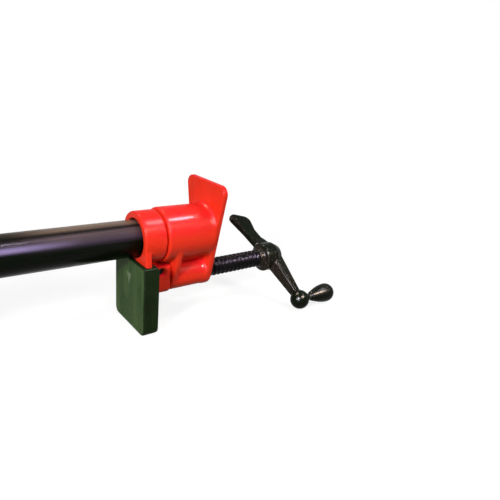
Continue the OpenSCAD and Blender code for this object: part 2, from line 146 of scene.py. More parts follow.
class Wiring:
    """Adds nodes to a tree. A plain value is set on its socket, and another node's socket is joined to it."""

    def __init__(self, tree):
        self.tree = tree

    def add(self, kind, wires=None, **settings):
        node = self.tree.nodes.new(kind)
        for key, value in settings.items():
            setattr(node, key, value)
        for socket, value in (wires or {}).items():
            self.join(value, node.inputs[socket])
        return node

    def join(self, value, socket):
        if isinstance(value, bpy.types.NodeSocket):
            self.tree.links.new(value, socket)
        else:
            socket.default_value = value

    def math(self, operation, *values):
        return self.add("ShaderNodeMath", dict(enumerate(values)), operation=operation).outputs[0]

    def plus(self, first, second):
        return self.math("ADD", first, second)

    def minus(self, first, second):
        return self.math("SUBTRACT", first, second)

    def times(self, first, second):
        return self.math("MULTIPLY", first, second)

    def over(self, first, second):
        return self.math("DIVIDE", first, second)

    def apart(self, value, middle):
        """How far a value is from a middle one."""
        return self.math("ABSOLUTE", self.minus(value, middle))

    def ramp(self, value, low, high, to_low=0.0, to_high=1.0, smooth=True):
        """Goes from one value to another while its input goes from low to high, and stays there beyond."""
        return self.add("ShaderNodeMapRange", {"Value": value, "From Min": low, "From Max": high,
                                               "To Min": to_low, "To Max": to_high},
                        interpolation_type="SMOOTHSTEP" if smooth else "LINEAR").outputs[0]

    def noise(self, place, scale, detail=2.0, roughness=0.5, distortion=0.0):
        return self.add("ShaderNodeTexNoise", {"Vector": place, "Scale": scale, "Detail": detail,
                                               "Roughness": roughness, "Distortion": distortion}).outputs[0]

    def mix(self, share, first, second):
        """Mixes two colours, which sockets 6 and 7 of the node take."""
        return self.add("ShaderNodeMix", {0: share, 6: first, 7: second}, data_type="RGBA").outputs[2]

    def stretched(self, place, x=1.0, y=1.0, z=1.0):
        return self.add("ShaderNodeMapping", {"Vector": place, "Scale": (x, y, z)}).outputs[0]

    def split(self, vector):
        """The X, Y and Z of a vector."""
        return self.add("ShaderNodeSeparateXYZ", {0: vector}).outputs

    def facing(self, kind="Normal"):
        """The X, Y and Z of where a surface faces. Normal is smoothed, and True Normal the face's own."""
        return self.split(self.add("ShaderNodeNewGeometry").outputs[kind])


def new_group(name, kind, inputs, outputs):
    """An empty node group with named sockets, its wiring, and its input and output nodes."""
    tree = bpy.data.node_groups.new(name, kind)
    for direction, sockets in (("INPUT", inputs), ("OUTPUT", outputs)):
        for label, socket_type, value in sockets:
            socket = tree.interface.new_socket(label, in_out=direction, socket_type=socket_type)
            if value is not None:
                socket.default_value = value
    wiring = Wiring(tree)
    return tree, wiring, tree.nodes.new("NodeGroupInput").outputs, tree.nodes.new("NodeGroupOutput").inputs


# Geometry trees

def geometry_tree(name, inputs):
    """An empty geometry tree that takes sizes and a finish."""
    inputs = inputs + [("Finish", MATERIAL, None)]
    return new_group(name, "GeometryNodeTree", inputs, [("Geometry", GEOMETRY, None)])


def end_tree(w, shape, given, result):
    """Ends a geometry tree with real meshes in the finish that it takes."""
    whole = w.add("GeometryNodeRealizeInstances", {"Geometry": shape})
    painted = w.add("GeometryNodeSetMaterial", {"Geometry": whole.outputs[0], "Material": given["Finish"]})
    w.join(painted.outputs[0], result[0])


def thread_tree():
    """A rolled thread round X: a strip one pitch wide is wound round, its ends clamped, its seams merged."""
    tree, w, given, result = geometry_tree("rolled_thread", [
        ("Start", FLOAT, 0.0), ("End", FLOAT, 0.1), ("Pitch", FLOAT, 0.004), ("Root radius", FLOAT, 0.006),
        ("Crest radius", FLOAT, 0.0075), ("Crest share", FLOAT, 0.3), ("Flank share", FLOAT, 0.16),
        ("Fade in", FLOAT, 0.002), ("Fade out", FLOAT, 0.002), ("End height", FLOAT, 0.0),
        ("Sides", WHOLE, 48), ("Steps", WHOLE, 14)])
    length = w.minus(given["End"], given["Start"])
    curls = w.plus(w.math("CEIL", w.over(length, given["Pitch"])), 2.0)
    strip = w.add("GeometryNodeMeshGrid", {
        "Size X": 1.0, "Size Y": 1.0, "Vertices X": w.plus(w.times(curls, given["Sides"]), 1.0),
        "Vertices Y": w.plus(given["Steps"], 1.0)})
    place = w.split(w.add("GeometryNodeInputPosition").outputs[0])
    around = w.times(w.plus(place[0], 0.5), curls)
    across = w.plus(place[1], 0.5)
    along = w.plus(w.minus(given["Start"], given["Pitch"]), w.times(w.plus(around, across), given["Pitch"]))
    from_crest = w.apart(across, 0.5)
    crest_half = w.times(given["Crest share"], 0.5)
    height = w.ramp(from_crest, crest_half, w.plus(crest_half, given["Flank share"]), 1.0, 0.0)
    begun = w.ramp(along, given["Start"], w.plus(given["Start"], given["Fade in"]))
    ended = w.ramp(along, w.minus(given["End"], given["Fade out"]), given["End"])
    rising = w.times(height, begun)
    share = w.plus(rising, w.times(ended, w.minus(given["End height"], rising)))
    depth = w.minus(given["Crest radius"], given["Root radius"])
    radius = w.plus(given["Root radius"], w.times(share, depth))
    angle = w.times(around, math.tau)
    moved = w.add("ShaderNodeCombineXYZ", {
        0: w.math("MINIMUM", w.math("MAXIMUM", along, given["Start"]), given["End"]),
        1: w.times(radius, w.math("COSINE", angle)), 2: w.times(radius, w.math("SINE", angle))})
    wound = w.add("GeometryNodeSetPosition", {"Geometry": strip.outputs[0], "Position": moved.outputs[0]})
    merged = w.add("GeometryNodeMergeByDistance", {"Geometry": wound.outputs[0], "Distance": 0.02 * MM})
    end_tree(w, merged.outputs[0], given, result)
    return tree


def coil_tree():
    """The clutch spring: a wire wound round X whose curls lean more and more towards the tilted plates."""
    tree, w, given, result = geometry_tree("leaning_coil", [
        ("Coil radius", FLOAT, 0.015), ("Wire radius", FLOAT, 0.001), ("Length", FLOAT, 0.014),
        ("Curls", FLOAT, 5.0), ("Lean", FLOAT, 0.1), ("Start", FLOAT, 0.22), ("Points", WHOLE, 240),
        ("Wire sides", WHOLE, 16)])
    line = w.add("GeometryNodeCurvePrimitiveLine", {"Start": (0, 0, 0), "End": (1, 0, 0)})
    points = w.add("GeometryNodeResampleCurve", {"Curve": line.outputs[0], "Count": given["Points"]})
    share = w.add("GeometryNodeSplineParameter").outputs["Factor"]
    angle = w.times(w.times(share, given["Curls"]), math.tau)
    cosine = w.math("COSINE", angle)
    lean = w.times(w.times(given["Coil radius"], given["Lean"]), w.minus(1.0, cosine))
    moved = w.add("ShaderNodeCombineXYZ", {
        0: w.minus(given["Start"], w.times(share, w.plus(given["Length"], lean))),
        1: w.times(given["Coil radius"], w.math("SINE", angle)), 2: w.times(given["Coil radius"], cosine)})
    wound = w.add("GeometryNodeSetPosition", {"Geometry": points.outputs[0], "Position": moved.outputs[0]})
    ring = w.add("GeometryNodeCurvePrimitiveCircle", {"Resolution": given["Wire sides"],
                                                      "Radius": given["Wire radius"]})
    wire = w.add("GeometryNodeCurveToMesh", {"Curve": wound.outputs[0], "Profile Curve": ring.outputs[0],
                                             "Fill Caps": True})
    end_tree(w, wire.outputs[0], given, result)
    return tree


def rounding_tree():
    """Rounds a solid as casting and moulding do: joins its shells, wears corners down and fills hollows."""
    tree, w, given, result = geometry_tree("rounded_casting", [
        ("Solid", GEOMETRY, None), ("Fineness", FLOAT, 0.0005), ("Corners", FLOAT, 0.001),
        ("Hollows", FLOAT, 0.0018), ("Evening", WHOLE, 2)])
    shape = given["Solid"]
    opened = w.times(given["Corners"], -1.0)
    closed = w.plus(given["Corners"], given["Hollows"])
    back = w.times(given["Hollows"], -1.0)
    for distance in (0.0, opened, closed, back):
        reach = 0.0 if distance == 0.0 else w.over(w.math("ABSOLUTE", distance), given["Fineness"])
        grid = w.add("GeometryNodeMeshToSDFGrid", {"Mesh": shape, "Voxel Size": given["Fineness"],
                                                   "Band Width": w.plus(w.math("CEIL", reach), 3.0)})
        shape = w.add("GeometryNodeGridToMesh", {"Grid": grid.outputs[0], "Threshold": distance}).outputs[0]
    place = w.add("GeometryNodeInputPosition").outputs[0]
    evened = w.add("GeometryNodeBlurAttribute", {"Iterations": given["Evening"]}, data_type="FLOAT_VECTOR")
    w.join(place, next(s for s in evened.inputs if s.enabled and s.type == "VECTOR"))
    even = next(s for s in evened.outputs if s.enabled)
    moved = w.add("GeometryNodeSetPosition", {"Geometry": shape, "Position": even})
    smooth = w.add("GeometryNodeSetShadeSmooth", {"Geometry": moved.outputs[0]})
    end_tree(w, smooth.outputs[0], given, result)
    return tree


def grown(name, tree, values, mesh=None):
    """The plain mesh that a geometry tree makes from its named inputs, and from a mesh where it takes one."""
    holder = bpy.data.objects.new(name, mesh or bpy.data.meshes.new(name))
    bpy.context.scene.collection.objects.link(holder)
    modifier = holder.modifiers.new(name, "NODES")
    modifier.node_group = tree
    for item in tree.interface.items_tree:
        if item.item_type == "SOCKET" and item.in_out == "INPUT" and item.name in values:
            modifier[item.identifier] = values[item.name]
    result = bpy.data.meshes.new_from_object(holder.evaluated_get(bpy.context.evaluated_depsgraph_get()))
    holder.modifiers.remove(modifier)
    bpy.data.objects.remove(holder)
    result.name = name
    return result


# Plain shapes

def softened(points, reach, steps=5):
    """A line of (place, radius) points whose inner corners are rounded over a reach."""
    line = [Vector(p) for p in points]
    out = [line[0]]
    for before, corner, after in zip(line, line[1:], line[2:]):
        back = min(reach, (before - corner).length * 0.45)
        on = min(reach, (after - corner).length * 0.45)
        a = corner + (before - corner).normalized() * back
        b = corner + (after - corner).normalized() * on
        for i in range(steps + 1):
            t = i / steps
            out.append(a * (1 - t) ** 2 + corner * 2 * t * (1 - t) + b * t ** 2)
    out.append(line[-1])
    return [(p.x, p.y) for p in out]


def turned(bm, profile, sides):
    """Adds a shape turned round X from (place, radius) points in millimetres."""
    rings = []
    for x, r in profile:
        if r < 1e-6:
            rings.append([bm.verts.new((x * MM, 0, 0))])
        else:
            rings.append([bm.verts.new((x * MM, r * MM * math.cos(math.tau * k / sides),
                                        r * MM * math.sin(math.tau * k / sides))) for k in range(sides)])
    for near, far in zip(rings, rings[1:]):
        for k in range(sides):
            n = (k + 1) % sides
            ends = (near[k % len(near)], near[n % len(near)], far[n % len(far)], far[k % len(far)])
            corners = list(dict.fromkeys(ends))
            if len(corners) > 2:
                bm.faces.new(corners)


def hull_outline(circles, inset, points=72):
    """Outline round a few circles (x, out, radius), drawn in by an inset."""
    out = []
    for k in range(points):
        way = Vector((math.cos(math.tau * k / points), math.sin(math.tau * k / points)))
        x, y, r = max(circles, key=lambda c: Vector(c[:2]).dot(way) + c[2])
        out.append(Vector((x, y)) + way * (r - inset))
    return out


def stacked(bm, sections):
    """Adds a closed skin over sections of as many points in millimetres, and fills the first and the last."""
    rings = [[bm.verts.new(Vector(p) * MM) for p in section] for section in sections]
    for near, far in zip(rings, rings[1:]):
        for k in range(len(near)):
            n = (k + 1) % len(near)
            bm.faces.new((near[k], near[n], far[n], far[k]))
    bm.faces.new(rings[0][::-1])
    bm.faces.new(rings[-1])


def blade(bm, circles, half, edge, levels=4):
    """Adds a plate in the X-Z plane round circles, half a thickness to each side, with rounded rims."""
    sections = []
    for side in (-1, 1):
        for i in range(levels + 1)[::side]:
            angle = math.radians(90 * i / levels)
            inset, up = edge * (1 - math.cos(angle)), half - edge + edge * math.sin(angle)
            sections.append([(p.x, side * up, p.y) for p in hull_outline(circles, inset)])
    stacked(bm, sections)


def as_mesh(name, bm, place=None):
    """Closes the doubles of a shape, turns its faces outwards and puts it in its place."""
    bmesh.ops.remove_doubles(bm, verts=bm.verts, dist=1e-7)
    bmesh.ops.recalc_face_normals(bm, faces=bm.faces)
    if place is not None:
        bmesh.ops.transform(bm, matrix=place, verts=bm.verts)
    mesh = bpy.data.meshes.new(name)
    bm.to_mesh(mesh)
    bm.free()
    mesh.shade_smooth()
    return mesh


def cad_solid(node):
    """A merged copy of a CAD node's mesh."""
    bm = bmesh.new()
    bm.from_mesh(bpy.data.objects[node].data)
    bmesh.ops.remove_doubles(bm, verts=bm.verts, dist=1e-6)
    mesh = bpy.data.meshes.new(node + "_solid")
    bm.to_mesh(mesh)
    bm.free()
    return mesh


def shown(name, mesh, finish, slot_name, *nodes):
    """Shows a mesh as a piece that stands for CAD nodes."""
    mesh.materials.clear()
    mesh.materials.append(finish)
    piece = bpy.data.objects.new(name, mesh)
    bpy.context.scene.collection.objects.link(piece)
    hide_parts(*nodes)
    return piece


def dress(name, mesh, finish, body, slot_name, *nodes):
    """Shows a mesh as a piece that rides on a body and stands for CAD nodes."""
    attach(shown(name, mesh, finish, slot_name, *nodes), body)


# Shader groups that several finishes share

def cast_skin_group():
    """Height of a sand-cast surface: soft lumps, grains and a few pits. Sizes are in millimetres."""
    tree, w, given, result = new_group("cast_skin", "ShaderNodeTree", [
        ("Place", VECTOR, None), ("Lump size", FLOAT, 4.0), ("Grain size", FLOAT, 0.9),
        ("Grain share", FLOAT, 0.3), ("Pit share", FLOAT, 0.3),
    ], [("Height", FLOAT, None), ("Pits", FLOAT, None)])
    pit_cells, pit_patches = 380.0, 160.0      # in a metre, where grains are one millimetre wide
    lumps = w.noise(given["Place"], w.over(METRE, given["Lump size"]), detail=2.0, roughness=0.45)
    grain = w.noise(given["Place"], w.over(METRE, given["Grain size"]), detail=3.0, roughness=0.6)
    cells = w.add("ShaderNodeTexVoronoi", {
        "Vector": given["Place"], "Scale": w.over(pit_cells, given["Grain size"])}).outputs["Distance"]
    patches = w.noise(given["Place"], w.over(pit_patches, given["Grain size"]), detail=1.0)
    pits = w.times(w.ramp(cells, 0.0, 0.22, 1.0, 0.0), w.ramp(patches, 0.52, 0.66))
    height = w.plus(lumps, w.times(grain, given["Grain share"]))
    w.join(w.minus(height, w.times(pits, given["Pit share"])), result["Height"])
    w.join(pits, result["Pits"])
    return tree


def edge_group():
    """Masks of outer edges, where a finish thins, and of inner corners, where the finishes paint shade in."""
    tree, w, given, result = new_group("edges_and_corners", "ShaderNodeTree", [
        ("Place", VECTOR, None), ("Edge from", FLOAT, 0.53), ("Edge to", FLOAT, 0.6),
        ("Corner from", FLOAT, 0.47), ("Corner to", FLOAT, 0.42), ("Break size", FLOAT, 3.0),
    ], [("Edges", FLOAT, None), ("Corners", FLOAT, None)])
    bend = w.add("ShaderNodeNewGeometry").outputs["Pointiness"]
    broken = w.noise(given["Place"], w.over(METRE, given["Break size"]), detail=4.0, roughness=0.65)
    edges = w.ramp(bend, given["Edge from"], given["Edge to"])
    corners = w.ramp(bend, given["Corner from"], given["Corner to"])
    w.join(w.times(edges, w.ramp(broken, 0.35, 0.65)), result["Edges"])
    w.join(w.times(corners, w.ramp(broken, 0.25, 0.6, 0.6, 1.0)), result["Corners"])
    return tree


def smudge_group():
    """Slow changes from handling and wiping, in two sizes, given in millimetres."""
    tree, w, given, result = new_group("smudges", "ShaderNodeTree", [
        ("Place", VECTOR, None), ("Wide size", FLOAT, 25.0), ("Small size", FLOAT, 5.0),
    ], [("Wide", FLOAT, None), ("Small", FLOAT, None)])
    wide = w.noise(given["Place"], w.over(METRE, given["Wide size"]), 2.0, 0.5, distortion=0.4)
    small = w.noise(given["Place"], w.over(METRE, given["Small size"]), detail=4.0, roughness=0.6)
    w.join(w.ramp(wide, 0.3, 0.7), result["Wide"])
    w.join(w.ramp(small, 0.3, 0.7), result["Small"])
    return tree


# Finishes. A place is in metres, and a height on the pipe is its normal's, which is 1 on the very top

LILAC = (0.86, 0.70, 1.0, 1)      # tint of the highlights on lacquer and oxide
V_REFLECTION_TOP = -0.0245      # where the painted V-shaped reflection on the pads begins
REFLECTION_START, REFLECTION_FULL = 0.308, 0.348      # along the pipe, where the painted brown reflection grows towards the head
# Along the pipe, where the painted lilac highlight rises and fades
HIGHLIGHT_START, HIGHLIGHT_FULL, HIGHLIGHT_FADES, HIGHLIGHT_END = 0.230, 0.290, 0.312, 0.360
# Heights of the painted dark gap in the reflection and of the painted lilac highlight
REFLECTION_GAP_HEIGHT = 0.875
HIGHLIGHT_HEIGHT = 0.50
CRANK_OUT = (0.0, math.cos(math.radians(CRANK_DIP)), math.sin(math.radians(CRANK_DIP)))
ARM_BROWN_START, ARM_BROWN_FULL, ARM_BROWN_FADES, ARM_BROWN_END = -0.044, -0.036, -0.010, -0.003      # out from the screw, where the brown tone lies on the arm
COLLAR_FADES, COLLAR_END = 0.5155, 0.5175      # along the screw, on the hub's inner end
CAST_SKIN = cast_skin_group()
EDGES = edge_group()
SMUDGES = smudge_group()


def start_finish(name, **sockets):
    """A new material with its Principled shader, whose constant values are set straight on the sockets."""
    material = bpy.data.materials.new(name)
    material.use_nodes = True
    material.node_tree.nodes.clear()
    w = Wiring(material.node_tree)
    shader = w.add("ShaderNodeBsdfPrincipled", {k.replace("_", " "): v for k, v in sockets.items()})
    w.add("ShaderNodeOutputMaterial", {"Surface": shader.outputs[0]})
    place = w.add("ShaderNodeTexCoord").outputs["Object"]
    return material, w, shader, place


def surfaced(w, shader, colour, roughness, height, depth_mm):
    """Joins a finish's colour, roughness and relief to its shader."""
    w.join(colour, shader.inputs["Base Color"])
    w.join(roughness, shader.inputs["Roughness"])
    bump = w.add("ShaderNodeBump", {"Strength": 1.0, "Distance": depth_mm * MM, "Height": height})
    w.join(bump.outputs[0], shader.inputs["Normal"])


def wear_and_painted_light(w, colour, *layers):
    """Lays colours over one another, each where its mask is and with its own strength: wear, painted shade
    and painted highlights.
    """
    for mask, strength, layer in layers:
        colour = w.mix(w.times(mask, strength), colour, layer)
    return colour


def group_node(w, tree, place, **values):
    """Places a shader group in a finish, with values of its own."""
    node = w.tree.nodes.new("ShaderNodeGroup")
    node.node_tree = tree
    w.join(place, node.inputs["Place"])
    for key, value in values.items():
        w.join(value, node.inputs[key.replace("_", " ")])
    return node.outputs


def smudged(w, smudge, low, high):
    """A value that goes from low to high with the small smudges."""
    return w.ramp(smudge["Small"], 0.0, 1.0, low, high)


def red_enamel():
    """Thick glossy enamel on a sand casting, thin on edges, with a painted reflection on upward faces and
    painted shade on downward faces, in inner corners and in pits.
    """
    material, w, shader, place = start_finish("red_enamel", Specular_IOR_Level=0.015, Coat_Roughness=0.06,
                                              Coat_IOR=1.35)
    clean, handled = (0.86, 0.016, 0.020, 1), (0.87, 0.028, 0.017, 1)
    side_without_reflection, underside_shade = (0.87, 0.036, 0.013, 1), (0.62, 0.036, 0.010, 1)
    corner, edge, pit_shade = (0.26, 0.010, 0.004, 1), (0.90, 0.055, 0.028, 1), (0.35, 0.006, 0.004, 1)
    skin = group_node(w, CAST_SKIN, place, Lump_size=3.0, Grain_size=1.0, Grain_share=0.16, Pit_share=0.3)
    marks = group_node(w, EDGES, place, Edge_from=0.53, Edge_to=0.62, Break_size=2.5)
    smudge = group_node(w, SMUDGES, place, Wide_size=22.0, Small_size=4.0)
    up = w.facing()[2]
    paint = w.mix(smudge["Wide"], clean, handled)
    # Painted light: faces turned up keep a pinker tone as a painted reflection, faces turned aside go orange,
    # and faces turned down go darker as painted shade.
    paint = w.mix(w.ramp(up, 0.0, 0.45, 1.0, 0.0), paint, side_without_reflection)
    paint = w.mix(w.ramp(up, -0.65, -0.10, 1.0, 0.0), paint, underside_shade)
    # Painted shade in inner corners and in pits, and paler thin enamel on edges.
    paint = wear_and_painted_light(w, paint, (marks["Corners"], 0.75, corner), (marks["Edges"], 0.25, edge),
                 (skin["Pits"], 0.5, pit_shade))
    surfaced(w, shader, paint, smudged(w, smudge, 0.26, 0.40), skin["Height"], depth_mm=0.2)
    w.join(w.ramp(smudge["Wide"], 0.0, 1.0, 0.12, 0.05), shader.inputs["Coat Weight"])
    return material


def green_plastic():
    """Moulded dark green plastic in cloudy streaks: its faces along X are painted paler as lit, its sides
    darker as shaded, with a painted V-shaped reflection.
    """
    material, w, shader, place = start_finish("green_plastic", Specular_IOR_Level=0.03)
    moulded, moulded_pale = (0.004, 0.011, 0.002, 1), (0.008, 0.018, 0.004, 1)
    face, face_pale = (0.020, 0.052, 0.008, 1), (0.050, 0.092, 0.024, 1)
    v_reflection, edge = (0.170, 0.225, 0.125, 1), (0.06, 0.10, 0.03, 1)
    streaks = w.noise(w.stretched(place, z=0.22), 130.0, detail=3.0, roughness=0.55, distortion=0.6)
    clouds = w.noise(w.stretched(place, z=0.6), 45.0, detail=2.0, roughness=0.5, distortion=0.3)
    grain = w.noise(place, 2200.0, detail=2.0, roughness=0.6)
    marks = group_node(w, EDGES, place, Edge_from=0.53, Edge_to=0.62, Break_size=2.0)
    smudge = group_node(w, SMUDGES, place, Wide_size=30.0, Small_size=3.0)
    cloudy = w.ramp(w.plus(w.times(streaks, 0.6), w.times(clouds, 0.4)), 0.38, 0.62)
    # Lit and shaded copies of the plastic: faces turned along X are painted as lit, the sides as shaded.
    facing = w.ramp(w.math("ABSOLUTE", w.facing("True Normal")[0]), 0.86, 0.99)
    # A painted V-shaped reflection near the top of the pad's face, narrowing downwards.
    middle = w.split(place)
    below = w.minus(V_REFLECTION_TOP, middle[2])
    narrowing = w.plus(w.math("ABSOLUTE", middle[1]), w.times(below, 0.42))
    v_reflection_share = w.times(w.ramp(narrowing, 0.0028, 0.0060, 1.0, 0.0), w.ramp(below, 0.0, 0.003))
    lit_face_colour = wear_and_painted_light(w, w.mix(cloudy, face, face_pale), (v_reflection_share, 0.75, v_reflection))
    colour = w.mix(facing, w.mix(cloudy, moulded, moulded_pale), lit_face_colour)
    colour = wear_and_painted_light(w, colour, (marks["Edges"], 0.25, edge))
    relief = w.plus(w.times(grain, 0.4), streaks)
    surfaced(w, shader, colour, smudged(w, smudge, 0.38, 0.55), relief, depth_mm=0.05)
    return material


def black_pipe():
    """Lacquered steel pipe: streaks and scuffs along it, and near the head a painted brown reflection on its
    upper side, with a dark gap and a dark line painted in it, and a painted lilac highlight where it begins."""
    material, w, shader, place = start_finish("black_pipe", Specular_IOR_Level=0.03, Specular_Tint=LILAC)
    lacquer, lacquer_pale = (0.0020, 0.0050, 0.0012, 1), (0.0050, 0.0060, 0.0035, 1)
    reflection_low, reflection_high = (0.066, 0.045, 0.072, 1), (0.122, 0.084, 0.092, 1)
    reflection_top, reflection_gap = (0.215, 0.140, 0.100, 1), (0.014, 0.011, 0.010, 1)
    lilac_highlight, dark_line_black = (0.26, 0.20, 0.38, 1), (0.006, 0.005, 0.005, 1)
    scuff_grey = (0.040, 0.032, 0.028, 1)
    streaks = w.noise(w.stretched(place, x=0.03), 700.0, detail=3.0, roughness=0.6)
    fine = w.noise(w.stretched(place, x=0.08), 2600.0, detail=2.0, roughness=0.6)
    scratches = w.noise(w.stretched(place, x=0.15), 1600.0, detail=1.0, roughness=0.5, distortion=1.5)
    smudge = group_node(w, SMUDGES, place, Wide_size=40.0, Small_size=7.0)
    scuffs = w.times(w.ramp(scratches, 0.66, 0.74), smudge["Wide"])
    along = w.split(place)[0]
    up = w.facing("True Normal")[2]
    # A painted reflection of the lamps: brown bands on the upper side, paler towards the top.
    upper_reflection = w.mix(w.ramp(up, 0.35, 0.78), reflection_low, reflection_high)
    upper_reflection = w.mix(w.ramp(up, 0.84, 0.95), upper_reflection, reflection_top)
    # A painted dark gap in the reflection.
    upper_reflection = w.mix(w.ramp(w.apart(up, REFLECTION_GAP_HEIGHT), 0.03, 0.10, 0.75, 0.0), upper_reflection, reflection_gap)
    reflection_share = w.times(w.ramp(up, 0.16, 0.50), w.ramp(streaks, 0.15, 0.75, 0.65, 1.0))
    reflection_share = w.times(reflection_share, w.ramp(along, REFLECTION_START, REFLECTION_FULL, 0.1, 1.0))
    # A painted lilac highlight beside the head, in place of a lamp's reflection.
    highlight_share = w.times(w.ramp(along, HIGHLIGHT_START, HIGHLIGHT_FULL), w.ramp(along, HIGHLIGHT_FADES, HIGHLIGHT_END, 1.0, 0.0))
    highlight_share = w.times(w.ramp(w.apart(up, HIGHLIGHT_HEIGHT), 0.02, 0.19, 1.0, 0.0), highlight_share)
    # A painted dark line along the gap.
    dark_line_height = w.ramp(fine, 0.3, 0.7, REFLECTION_GAP_HEIGHT - 0.01, REFLECTION_GAP_HEIGHT + 0.01)
    dark_line = w.ramp(w.apart(up, dark_line_height), 0.012, 0.03, 1.0, 0.0)
    colour = w.mix(w.ramp(streaks, 0.35, 0.65), lacquer, lacquer_pale)
    colour = w.mix(reflection_share, colour, upper_reflection)
    colour = w.mix(highlight_share, colour, lilac_highlight)
    colour = wear_and_painted_light(w, colour, (dark_line, 0.8, dark_line_black), (scuffs, 0.4, scuff_grey))
    wiped = w.plus(w.times(fine, 0.5), w.times(smudge["Small"], 0.5))
    relief = w.plus(w.times(streaks, 0.7), w.times(fine, 0.3))
    surfaced(w, shader, colour, w.ramp(wiped, 0.2, 0.8, 0.17, 0.28), relief, depth_mm=0.03)
    return material


def black_oxide():
    """Oiled black oxide on the rolled screw: its crests paler from wear and with a painted lilac highlight,
    its roots darker as painted shade.
    """
    material, w, shader, place = start_finish("black_oxide", Specular_IOR_Level=0.035, Specular_Tint=LILAC)
    oiled, oiled_pale = (0.0050, 0.0052, 0.0042, 1), (0.0085, 0.0078, 0.0078, 1)
    crest_wear_and_highlight, root = (0.075, 0.060, 0.075, 1), (0.002, 0.002, 0.002, 1)
    marks = group_node(w, EDGES, place, Edge_from=0.53, Edge_to=0.66, Break_size=1.6)
    smudge = group_node(w, SMUDGES, place, Wide_size=14.0, Small_size=1.8)
    colour = w.mix(smudge["Wide"], oiled, oiled_pale)
    # Crests paler from wear and as a painted lilac highlight; roots darker as painted shade.
    colour = wear_and_painted_light(w, colour, (marks["Edges"], 0.5, crest_wear_and_highlight), (marks["Corners"], 0.6, root))
    surfaced(w, shader, colour, smudged(w, smudge, 0.15, 0.27), smudge["Small"], depth_mm=0.02)
    return material


def black_casting():
    """Black iron casting of the crank: grainy, with a brown tone on its arm and collar that is stronger on
    faces turned to -X as painted light, painted tan glints in grains, and painted tan highlights on its
    ridges."""
    material, w, shader, place = start_finish("black_casting", Specular_IOR_Level=0.03)
    black, black_pale = (0.0036, 0.0078, 0.0022, 1), (0.0052, 0.0074, 0.0036, 1)
    brown_tone_and_light, fleck_glint, ridge_highlight = (0.020, 0.0145, 0.0105, 1), (0.180, 0.130, 0.103, 1), (0.110, 0.080, 0.060, 1)
    skin = group_node(w, CAST_SKIN, place, Lump_size=2.4, Grain_size=0.7, Grain_share=0.45, Pit_share=0.3)
    marks = group_node(w, EDGES, place, Edge_from=0.535, Edge_to=0.60, Break_size=1.5)
    smudge = group_node(w, SMUDGES, place, Wide_size=16.0, Small_size=2.5)
    # A brown tone on the arm and the collar; on the arm it is strongest on faces turned to -X, as painted
    # light.
    reach = w.add("ShaderNodeVectorMath", {0: place, 1: CRANK_OUT}, operation="DOT_PRODUCT").outputs["Value"]
    out = w.minus(reach, CRANK_OUT[2] * SCREW_Z * MM)
    brown_and_lit_share = w.times(w.ramp(out, ARM_BROWN_FADES, ARM_BROWN_END, 1.0, 0.0), w.ramp(out, ARM_BROWN_START, ARM_BROWN_FULL))
    brown_and_lit_share = w.times(brown_and_lit_share, w.ramp(w.facing()[0], -0.8, -0.1, 1.0, 0.4))
    brown_and_lit_share = w.math("MAXIMUM", brown_and_lit_share, w.ramp(w.split(place)[0], COLLAR_FADES, COLLAR_END, 0.9, 0.0))
    # Painted tan glints in grains, mostly where the brown tone is.
    fleck_glints = w.ramp(w.noise(place, 900.0, detail=1.0, roughness=0.5), 0.61, 0.68)
    fleck_glints = w.times(fleck_glints, w.ramp(brown_and_lit_share, 0.0, 0.6, 0.04, 1.0))
    colour = w.mix(smudge["Wide"], black, black_pale)
    colour = w.mix(w.times(brown_and_lit_share, smudged(w, smudge, 0.6, 1.0)), colour, brown_tone_and_light)
    # Painted tan highlights on the ridges and outer edges.
    colour = wear_and_painted_light(w, colour, (fleck_glints, 0.65, fleck_glint), (marks["Edges"], 0.7, ridge_highlight))
    surfaced(w, shader, colour, smudged(w, smudge, 0.15, 0.26), skin["Height"], depth_mm=0.12)
    return material


def black_grip():
    """Dipped glossy black grip, smooth with faint turning lines."""
    material, w, shader, place = start_finish("black_grip", Specular_IOR_Level=0.04)
    dipped, dipped_pale = (0.0020, 0.0042, 0.0014, 1), (0.0038, 0.0048, 0.0028, 1)
    smudge = group_node(w, SMUDGES, place, Wide_size=12.0, Small_size=2.0)
    lines = w.noise(w.stretched(place, y=0.05, z=0.05), 1500.0, detail=1.0)
    relief = w.plus(w.times(smudge["Small"], 0.5), w.times(lines, 0.5))
    colour = w.mix(smudge["Wide"], dipped, dipped_pale)
    surfaced(w, shader, colour, smudged(w, smudge, 0.25, 0.34), relief, depth_mm=0.015)
    return material


def steel(name, dull, bright, scratch_scale, rough_low, rough_high, **sockets):
    """Oiled or plated steel: brushed marks, smudges, bright edges, and painted shade in inner corners."""
    material, w, shader, place = start_finish(name, **sockets)
    edge = tuple(c * 1.5 for c in bright[:3]) + (1,)
    # Inner corners darken to a third of the dull colour as painted shade.
    corner = tuple(c * 0.3 for c in dull[:3]) + (1,)
    marks = group_node(w, EDGES, place, Edge_from=0.52, Edge_to=0.6, Break_size=1.2)
    smudge = group_node(w, SMUDGES, place, Wide_size=15.0, Small_size=2.2)
    brushed = w.noise(w.stretched(place, x=0.3, z=0.06), scratch_scale, detail=3.0, roughness=0.6)
    colour = w.mix(w.plus(w.times(brushed, 0.5), w.times(smudge["Wide"], 0.5)), dull, bright)
    colour = wear_and_painted_light(w, colour, (marks["Edges"], 0.5, edge), (marks["Corners"], 0.5, corner))
    surfaced(w, shader, colour, smudged(w, smudge, rough_low, rough_high), brushed, depth_mm=0.02)
    return material


